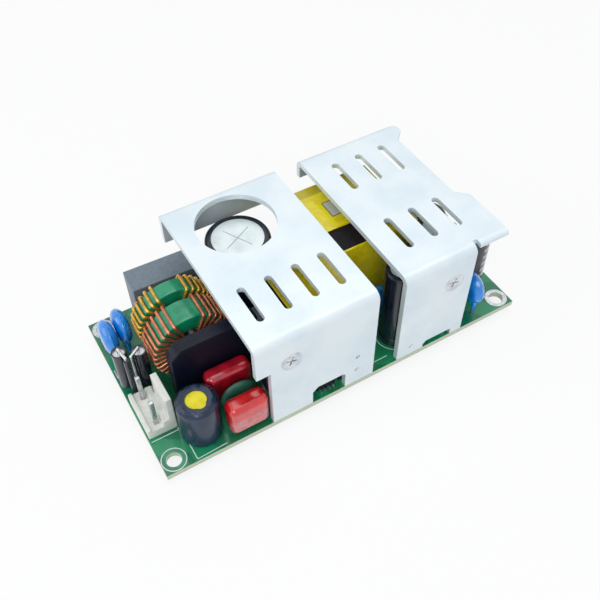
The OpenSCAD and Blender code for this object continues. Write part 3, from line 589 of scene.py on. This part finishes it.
# ---------------------------------------------------------------- sub-assemblies
@dataclass
class Board:
    """The printed board with its holes' rings and its white outlines."""

    ink: float = 0.04
    line: float = 0.22
    hole: Spot = (47.625, 22.225)
    strokes: tuple[tuple[Spot, Spot], ...] = (
        ((-50.3, -15.5), (-43.3, -15.5)), ((-42.8, -15.4), (-42.8, -24.9)),
        ((-42.8, -24.9), (-35.0, -24.6)), ((-43.3, -15.5), (-43.3, -14.9)),
        ((43.6, -19.4), (43.6, -15.2)), ((-50.2, 5.6), (-50.2, 8.4)),
        ((7.2, -23.0), (11.4, -23.0)))

    def ring(self, name: str, at: Spot, inner: float, outer: float) -> bpy.types.Object:
        """A thin flat ring on the board."""
        return Bench.lathe(name, [(inner, 0.003), (outer - 0.03, 0.003), (outer - 0.03, self.ink),
                                  (inner, self.ink), (inner, 0.003)], (*at, BOARD_TOP), 48)

    def stroke(self, a: Spot, b: Spot) -> bpy.types.Object:
        """A straight printed line from a to b."""
        length = hypot(b[0] - a[0], b[1] - a[1])
        made = Bench.block("stroke", (-length / 2, -self.line / 2, 0),
                           (length / 2, self.line / 2, self.ink), 0.012, 1)
        made.rotation_euler = (0, 0, atan2(b[1] - a[1], b[0] - a[0]))
        made.location = Vector(((a[0] + b[0]) / 2, (a[1] + b[1]) / 2, BOARD_TOP + 0.002)) * MM
        return Bench.settle(made)

    def build(self) -> None:
        """Dresses the board and lays the rings and lines on it."""
        repaint("pcb", Stuff.BOARD.value)
        x, y = self.hole
        pads = [self.ring("pad", spot, 1.92, 3.0) for spot in ((x, -y), (-x, y), (x, y))]
        Bench.dress(Bench.join("hole_pads", pads), Stuff.SOLDER.value, "board")
        lines = [self.stroke(*ends) for ends in self.strokes]
        lines += [self.ring("ring", (-x, -y), 2.86, 3.12),
                  self.ring("ring", (16.9, -18.2), 4.9, 5.15)]
        Bench.dress(Bench.join("white_outlines", lines), Stuff.SILK.value, "board")


@dataclass
class Heatsinks:
    """The two folded plates with what holds them and what is clamped to them."""

    edge: float = 0.14

    def build(self) -> None:
        """Eases the plates' cut edges and dresses the clamped parts."""
        for node in ("primary_plate", "secondary_plate"):
            sheet = Bench.eased(node, node + "_sheet", self.edge)
            Bench.dress(sheet, Stuff.PLATE.value, "plate_aluminium")
        for node, slot, stuff, edge in (("device_bodies", "black_epoxy", Stuff.EPOXY, 0.3),
                                        ("optocouplers", "black_epoxy", Stuff.EPOXY, 0.2),
                                        ("control_chips", "black_epoxy", Stuff.EPOXY, 0.1),
                                        ("bridge_rectifier", "black_epoxy", Stuff.EPOXY, 0.35)):
            Bench.dress(Bench.eased(node, node + "_moulding", edge), stuff.value, slot)
        for node, stuff in (("clamp_screws", Stuff.STEEL), ("clamp_nuts", Stuff.STEEL),
                            ("plate_feet", Stuff.TINNED), ("insulator_pads", Stuff.PAD),
                            ("device_tabs", Stuff.TINNED), ("bridge_legs", Stuff.TINNED),
                            ("chip_terminals", Stuff.TINNED), ("chip_resistors", Stuff.BLACK)):
            repaint(node, stuff.value)


@dataclass
class Can:
    """One electrolytic capacitor: a drawn can in a shrunk sleeve."""

    name: str
    spot: Spot
    dia: float
    tall: float
    band_turn: float = 0.0
    band_width: float = 0.0
    hatched: bool = False
    lip: float = 1.1

    def metal(self) -> bpy.types.Object:
        """The can's crowned top, scored across, inside the sleeve."""
        r, h = self.dia / 2 - 0.32, self.tall
        return Bench.lathe(self.name + "_can", [
            (0, h - 0.12), (r * 0.45, h - 0.1), (r - self.lip, h - 0.06),
            (r - 0.5, h - 0.28), (r - 0.12, h - 0.7), (r, h - 1.3), (r, 2.9),
            (r - 0.5, 2.3), (r, 1.8), (r, 0.4), (0, 0.4)], (*self.spot, BOARD_TOP), 56)

    def score(self) -> bpy.types.Object:
        """The vent's pressed lines, as thin dark grooves across the top."""
        bars = []
        for turn in (28, 118):
            bar = Bench.block("score", (-self.dia * 0.27, -0.07, 0),
                              (self.dia * 0.27, 0.07, 0.05), 0.015, 1)
            bar.rotation_euler = (0, 0, radians(turn))
            bar.location = Vector((*self.spot, BOARD_TOP + self.tall - 0.13)) * MM
            bars.append(Bench.settle(bar))
        return Bench.join(self.name + "_score", bars)

    def film(self) -> bpy.types.Object:
        """The sleeve, rolled in over the shoulder and pinched near the foot."""
        r, h, t = self.dia / 2, self.tall, 0.28
        return Bench.lathe(self.name + "_sleeve", [
            (r - self.lip - 0.2, h - 0.02), (r - 0.75, h - 0.02), (r - 0.3, h - 0.2),
            (r - 0.05, h - 0.6), (r, h - 1.3), (r, 3.0), (r - 0.35, 2.4), (r, 1.8),
            (r, 0.25), (r - 0.25, 0.02), (r - 1.2, 0.02), (r - 1.2, t), (r - t, t + 0.2),
            (r - t, 1.7), (r - 0.35 - t, 2.4), (r - t, 3.1), (r - t, h - 1.3),
            (r - 0.35 - t, h - 0.7), (r - 0.9, h - t), (r - self.lip - 0.2, h - t),
            (r - self.lip - 0.2, h - 0.02)], (*self.spot, BOARD_TOP), 64)

    def finish(self) -> ShrunkSleeve:
        """The sleeve's finish, with this can's own band."""
        plain = Stuff.SLEEVE.value
        return ShrunkSleeve(
            self.name + "_film", plain.colour, plain.shade, plain.rough, coat=plain.coat,
            depth=plain.depth, shine=plain.shine, middle=self.spot,
            band_turn=self.band_turn, band_width=self.band_width, hatched=self.hatched)

    def build(self, can_node: str, sleeve_node: str) -> None:
        """Makes and dresses the can and its sleeve."""
        metal, film, score = self.metal(), self.film(), self.score()
        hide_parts(can_node)
        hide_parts(sleeve_node)
        Bench.dress(metal, Stuff.CAN.value, "can_aluminium")
        Bench.dress(score, Stuff.GREY.value, "can_aluminium")
        Bench.dress(film, self.finish(), "black_sleeve")


@dataclass
class Electrolytics:
    """The bulk capacitor under the port and the five at the output."""

    bulk: Can = field(default_factory=lambda: Can("bulk", (-11.6, 11.3), 16.6, 25.0, lip=1.5))
    output: tuple[Can, ...] = (
        Can("front_tall", (16.9, -18.2), 8.4, 25.4, -70, 0.34),
        Can("rear_tall", (31.8, -11.6), 10.0, 25.4, -20, 0.3),
        Can("front_short", (37.5, -1.8), 9.2, 20.0, 160, 0.3),
        Can("rear_short", (37.5, 8.9), 8.8, 20.0, 160, 0.3),
        Can("small", (43.9, -13.6), 8.0, 20.0, -60, 0.5, True))

    def build(self) -> None:
        """Builds every can."""
        self.bulk.build("bulk_can", "bulk_sleeve")
        for can in self.output:
            can.build("output_cans", "output_sleeves")
        repaint("capacitor_seals", Stuff.SEAL.value)
        repaint("component_leads", Stuff.TINNED.value)


@dataclass
class Choke:
    """A ring core on edge with a winding of separate turns on each side."""

    name: str
    y: float
    width: float
    wire: Finish
    slot: str
    x: float = -32.0
    z: float = 12.9
    outer: float = 9.6
    bore: float = 5.2
    thick: float = 0.8
    turns: int = 14
    span: float = 146.0

    def core(self) -> bpy.types.Object:
        """The painted ring, with soft corners."""
        h, a, e, b = self.width / 2, self.bore, self.outer, 0.6
        return Bench.lathe(self.name + "_ring", [
            (a + b, -h), (e - b, -h), (e - 0.17, -h + 0.17), (e, -h + b), (e, h - b),
            (e - 0.17, h - 0.17), (e - b, h), (a + b, h), (a + 0.17, h - 0.17), (a, h - b),
            (a, -h + b), (a + 0.17, -h + 0.17), (a + b, -h)],
            (self.x, self.y, self.z), 96, "Y")

    def turn(self) -> bpy.types.Object:
        """One turn of wire, drawn round the core's section at the top of the ring.

        The section starts on the outer face, is extruded along each face
        of the core, and is spun round each corner. The spin operator turns
        against the sign of its angle, here and in winding.
        """
        r, bend = self.thick / 2 - 0.01, self.thick / 2 + 0.12
        h, a, e = self.width / 2, self.bore, self.outer
        half, low, high = h + r - bend, a - r + bend, e + r - bend
        Bench.clear()
        bpy.ops.mesh.primitive_circle_add(vertices=8, radius=r * MM, rotation=(pi / 2, 0, 0),
                                          location=(0, -half * MM, (high + bend) * MM))
        piece = bpy.context.object
        piece.name = self.name + "_turn"
        bpy.ops.object.transform_apply(location=True, rotation=True, scale=True)
        bpy.ops.object.mode_set(mode="EDIT")
        bpy.ops.mesh.select_all(action="SELECT")
        for step, (cy, cz) in (
                ((0, 2 * half, 0), (half, high)), ((0, 0, low - high), (half, low)),
                ((0, -2 * half, 0), (-half, low)), ((0, 0, high - low), (-half, high))):
            bpy.ops.mesh.extrude_region_move(
                TRANSFORM_OT_translate={"value": tuple(v * MM for v in step)})
            bpy.ops.mesh.spin(steps=4, angle=pi / 2, center=(0, cy * MM, cz * MM), axis=(1, 0, 0))
        bpy.ops.mesh.select_all(action="SELECT")
        bpy.ops.mesh.remove_doubles(threshold=5e-6)
        bpy.ops.mesh.normals_make_consistent(inside=False)
        bpy.ops.object.mode_set(mode="OBJECT")
        return piece

    def winding(self, side: int) -> bpy.types.Object:
        """One half's turns, spun round the ring.

        Args:
            side: 1 for the right half, -1 for the left.

        Returns:
            The winding.
        """
        piece = self.turn()
        piece.name = f"{self.name}_turns_{'right' if side > 0 else 'left'}"
        pitch = radians(self.span) / self.turns
        first = side * (pi / 2 - radians(self.span) / 2 + pitch / 2)
        piece.rotation_euler = (0, first, 0)
        Bench.only(piece)
        bpy.ops.object.transform_apply(location=True, rotation=True, scale=True)
        bpy.ops.object.mode_set(mode="EDIT")
        bpy.ops.mesh.select_all(action="SELECT")
        bpy.ops.mesh.spin(steps=self.turns - 1, angle=-side * pitch * (self.turns - 1), dupli=True,
                          center=(0, 0, 0), axis=(0, 1, 0))
        bpy.ops.object.mode_set(mode="OBJECT")
        piece.location = Vector((self.x, self.y, self.z)) * MM
        return Bench.settle(piece, 80)

    def build(self) -> None:
        """Makes and dresses the ring and both windings."""
        ring = self.core()
        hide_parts(self.name + "_core")
        Bench.dress(ring, Stuff.CORE.value, "green_core")
        for side, word in ((1, "right"), (-1, "left")):
            wound = self.winding(side)
            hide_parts(self.name.replace("_choke", "") + "_winding_" + word)
            Bench.dress(wound, self.wire, self.slot)


@dataclass
class Chokes:
    """The two line chokes, their seats and dividers."""

    pair: tuple[Choke, ...] = (
        Choke("front_choke", 0.7, 6.6, Stuff.COPPER.value, "copper_wire"),
        Choke("rear_choke", 8.9, 4.4, Stuff.GOLD.value, "gold_wire"))

    def build(self) -> None:
        """Builds both chokes."""
        for choke in self.pair:
            choke.build()
        repaint("choke_bases", Stuff.BLACK.value)
        repaint("choke_dividers", Stuff.GREY.value)


@dataclass(frozen=True)
class Pill:
    """A dipped film capacitor's place, size and finish."""

    name: str
    node: str
    spot: Spot
    size: Point
    stuff: Stuff
    slot: str


@dataclass(frozen=True)
class Disc:
    """A dipped disc's place, size and finish. A turned disc faces along Y."""

    name: str
    node: str
    spot: Spot
    z: float
    dia: float = 9.6
    thick: float = 3.9
    turned: bool = False
    pitch: float = 5.0
    stuff: Stuff = Stuff.BLUE
    slot: str = "blue_epoxy"


@dataclass
class InputParts:
    """The filter parts, fuses and headers, with the discs at both ends."""

    pill_lift: float = 0.8
    pill_round: float = 0.36
    leg_lift: float = 1.0
    leg: float = 0.75
    pills: tuple[Pill, ...] = (
        Pill("rear_film_pill", "film_capacitor_rear", (-28.4, -13.2), (11.6, 4.4, 11.4),
             Stuff.CRIMSON, "crimson_epoxy"),
        Pill("front_film_pill", "film_capacitor_front", (-28.2, -22.4), (10.2, 4.8, 10.0),
             Stuff.RED, "red_epoxy"))
    discs: tuple[Disc, ...] = (
        Disc("left_disc", "input_disc_capacitors", (-48.4, 12.5), 9.6),
        Disc("middle_disc", "input_disc_capacitors", (-44.4, 14.2), 9.6),
        Disc("gap_disc", "output_disc_capacitors", (16.2, -10.6), 8.8, 8.6, 3.5, True),
        Disc("right_disc", "output_disc_capacitors", (39.0, -20.3), 9.6),
        Disc("thermistor_disc", "thermistor", (-28.0, -17.9), 7.9, 9.6, 2.2, True,
             stuff=Stuff.SAGE, slot="green_epoxy"))
    moulded: tuple[tuple[str, float, Stuff, str], ...] = (
        ("x_capacitor", 0.35, Stuff.BOX, "grey_box"),
        ("input_header", 0.18, Stuff.NYLON, "white_nylon"),
        ("output_header", 0.18, Stuff.NYLON, "white_nylon"),
        ("input_pins", 0.2, Stuff.TINNED, "tinned_metal"),
        ("output_pins", 0.2, Stuff.TINNED, "tinned_metal"),
        ("resonant_capacitor", 0.3, Stuff.BOX, "grey_box"))

    def film(self, pill: Pill) -> None:
        """Makes a dipped film capacitor: a block rounded till it looks poured."""
        base = BOARD_TOP + self.pill_lift
        low = (pill.spot[0] - pill.size[0] / 2, pill.spot[1] - pill.size[1] / 2, base)
        high = (pill.spot[0] + pill.size[0] / 2, pill.spot[1] + pill.size[1] / 2,
                base + pill.size[2])
        made = Bench.block(pill.name, low, high, min(pill.size) * self.pill_round, 6)
        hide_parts(pill.node)
        Bench.dress(made, pill.stuff.value, pill.slot)

    def disc(self, disc: Disc) -> None:
        """Makes a dipped disc on its two coated legs."""
        r, t, w = disc.dia / 2, disc.thick / 2, self.leg
        x, y = disc.spot
        body = Bench.lathe(disc.name, [
            (0, -t * 0.96), (r * 0.5, -t * 0.94), (r * 0.78, -t * 0.75), (r * 0.94, -t * 0.4),
            (r, 0), (r * 0.94, t * 0.4), (r * 0.78, t * 0.75), (r * 0.5, t * 0.94),
            (0, t * 0.96)], (x, y, disc.z), 40, "Y" if disc.turned else "X")
        foot = BOARD_TOP + self.leg_lift
        top = disc.z - foot - r * 0.35
        legs = []
        for side in (-1, 1):
            step = side * disc.pitch / 2
            at = (x + step, y) if disc.turned else (x, y + step)
            legs.append(Bench.lathe("leg", [
                (0, 0), (w * 0.6, 0), (w * 0.75, 0.6), (w, top * 0.6), (w, top),
                (0, top + 0.5)], (*at, foot), 16))
        made = Bench.join(disc.name, [body, *legs])
        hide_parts(disc.node)
        Bench.dress(made, disc.stuff.value, disc.slot)

    def filter_coil(self) -> None:
        """The filter inductor: a sleeve over its yellow core."""
        made = Bench.eased("filter_sleeve", "filter_film", 0.18, 3)
        Bench.dress(made, Stuff.NAVY.value, "navy_sleeve")
        repaint("filter_core", Stuff.COATED.value)

    def build(self) -> None:
        """Builds the pills, discs, filter inductor and mouldings, in that order."""
        for pill in self.pills:
            self.film(pill)
        for disc in self.discs:
            self.disc(disc)
        self.filter_coil()
        for node, edge, stuff, slot in self.moulded:
            Bench.dress(Bench.eased(node, node + "_moulding", edge), stuff.value, slot)
        repaint("fuse_sleeves", Stuff.SLEEVE.value)
        repaint("fuses", Stuff.TINNED.value)


@dataclass
class WoundParts:
    """The main transformer, the boost inductor and the standby transformer."""

    label: tuple[float, float, float, float] = (12.1, 17.4, 5.2, 10.8)
    label_z: float = 26.8

    def label_edge(self) -> None:
        """The dark border round the blank label."""
        x0, x1, y0, y1 = self.label
        w, z0, z1 = 0.22, self.label_z + 0.05, self.label_z + 0.14
        bars = [Bench.block("border", low, high, 0.02, 1) for low, high in (
            ((x0, y0, z0), (x1, y0 + w, z1)), ((x0, y1 - w, z0), (x1, y1, z1)),
            ((x0, y0, z0), (x0 + w, y1, z1)), ((x1 - w, y0, z0), (x1, y1, z1)))]
        Bench.dress(Bench.join("label_border", bars), Stuff.INK.value, "label_paper")

    def build(self) -> None:
        """Eases the cores and tape, and dresses what they hold."""
        for node, edge, stuff, slot in (("transformer_core", 0.25, Stuff.FERRITE, "ferrite"),
                                        ("transformer_wrap", 0.35, Stuff.LAPPED, "yellow_tape"),
                                        ("transformer_front_tape", 0.2, Stuff.TAPE, "yellow_tape"),
                                        ("boost_core", 0.25, Stuff.FERRITE, "ferrite"),
                                        ("boost_wrap", 0.35, Stuff.TAPE, "yellow_tape"),
                                        ("boost_base", 0.2, Stuff.BLACK, "black_plastic"),
                                        ("standby_transformer", 0.2, Stuff.FERRITE, "ferrite"),
                                        ("standby_coil", 0.3, Stuff.TAPE, "yellow_tape")):
            Bench.dress(Bench.eased(node, node + "_finished", edge), stuff.value, slot)
        for node, stuff in (("transformer_bobbin", Stuff.BLACK), ("transformer_coil", Stuff.COPPER),
                            ("boost_coil", Stuff.COPPER), ("transformer_label", Stuff.LABEL),
                            ("wound_part_pins", Stuff.TINNED), ("solder_joints", Stuff.SOLDER)):
            repaint(node, stuff.value)
        self.label_edge()


# ---------------------------------------------------------------- studio
@dataclass
class Studio:
    """The camera, the soft lamps and the pale floor.

    The eye and the floor are in millimetres. The aim and each lamp's place and width
    are in metres.
    """

    eye: Point = (-65.01, -112.14, 161.72)
    yaw: float = 29.842
    pitch: float = 50.018
    roll: float = -0.812
    lens: float = 46.277
    fill: float = 0.55
    floor_z: float = -1.85
    floor_white: float = 0.82
    aim: Point = (0, 0, 0.01)
    lamps: tuple[tuple[str, Point, float, float], ...] = (
        ("key", (-0.35, -0.45, 0.55), 0.45, 2.0),
        ("top", (0.15, 0.1, 0.7), 0.6, 1.3),
        ("side", (-0.6, 0.15, 0.25), 0.4, 0.8))

    def camera(self) -> None:
        """Stands the camera at its place, without shift or blur."""
        yaw, pitch, roll = (radians(v) for v in (self.yaw, self.pitch, self.roll))
        ahead = Vector((sin(yaw) * cos(pitch), cos(yaw) * cos(pitch), -sin(pitch)))
        right = Vector((cos(yaw), -sin(yaw), 0))
        up = right.cross(ahead)
        side = cos(roll) * right + sin(roll) * up
        above = cos(roll) * up - sin(roll) * right
        data = bpy.data.cameras.new("camera")
        data.sensor_width, data.lens, data.clip_start = 36, self.lens, 0.005
        eye = bpy.data.objects.new("camera", data)
        eye.matrix_world = Matrix.Translation(Vector(self.eye) * MM) @ Matrix(
            (side, above, -ahead)).transposed().to_4x4()
        bpy.context.scene.collection.objects.link(eye)
        bpy.context.scene.camera = eye

    def lamp(self, name: str, at: Point, size: float, power: float) -> None:
        """A square soft lamp that faces the middle of the supply."""
        data = bpy.data.lights.new(name, "AREA")
        data.shape, data.size, data.energy = "SQUARE", size, power
        made = bpy.data.objects.new(name, data)
        made.location = at
        aim = Vector(self.aim) - Vector(at)
        made.rotation_euler = aim.to_track_quat("-Z", "Y").to_euler()
        bpy.context.scene.collection.objects.link(made)

    def world(self) -> None:
        """A soft surround, white where it is seen."""
        t = Tree("surround", world=True)
        soft = t.node("ShaderNodeBackground", {},
                      {"Color": (0.96, 0.98, 1), "Strength": self.fill})
        white = t.node("ShaderNodeBackground", {}, {"Color": (1, 1, 1), "Strength": 1.0})
        mixed = t.node("ShaderNodeMixShader", {}, {0: t.seen(), 1: soft, 2: white})
        t.node("ShaderNodeOutputWorld", {}, {"Surface": mixed})
        bpy.context.scene.world = t.owner

    def floor(self) -> None:
        """A wide pale floor, just under the solder joints."""
        Bench.clear()
        bpy.ops.mesh.primitive_plane_add(size=4, location=(0, 0, self.floor_z * MM))
        ground = bpy.context.object
        ground.name = "floor"
        t = Tree("pale_floor")
        shade = t.blend(t.noise(0.02), (0.9, 0.9, 0.9), (0.92, 0.92, 0.92))
        paper = t.node("ShaderNodeBsdfDiffuse", {}, {"Color": shade})
        white = t.node("ShaderNodeEmission", {}, {"Color": (1, 1, 1), "Strength": 1.0})
        mixed = t.node("ShaderNodeMixShader", {},
                       {0: t.seen() * self.floor_white, 1: paper, 2: white})
        t.node("ShaderNodeOutputMaterial", {}, {"Surface": mixed})
        ground.data.materials.append(t.owner)

    def build(self) -> None:
        """Sets up the whole studio."""
        self.camera()
        self.world()
        self.floor()
        for lamp in self.lamps:
            self.lamp(*lamp)
        bpy.context.scene.view_settings.view_transform = "Standard"


def main() -> None:
    """Builds every sub-assembly in order."""
    logging.basicConfig(level=logging.INFO, format="%(name)s %(message)s")
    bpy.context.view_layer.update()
    for part in (Studio(), Board(), Heatsinks(), Electrolytics(), Chokes(), InputParts(),
                 WoundParts()):
        LOG.info("building %s", type(part).__name__)
        part.build()
    Bench.clear()


if __name__ == "__main__":
    main()
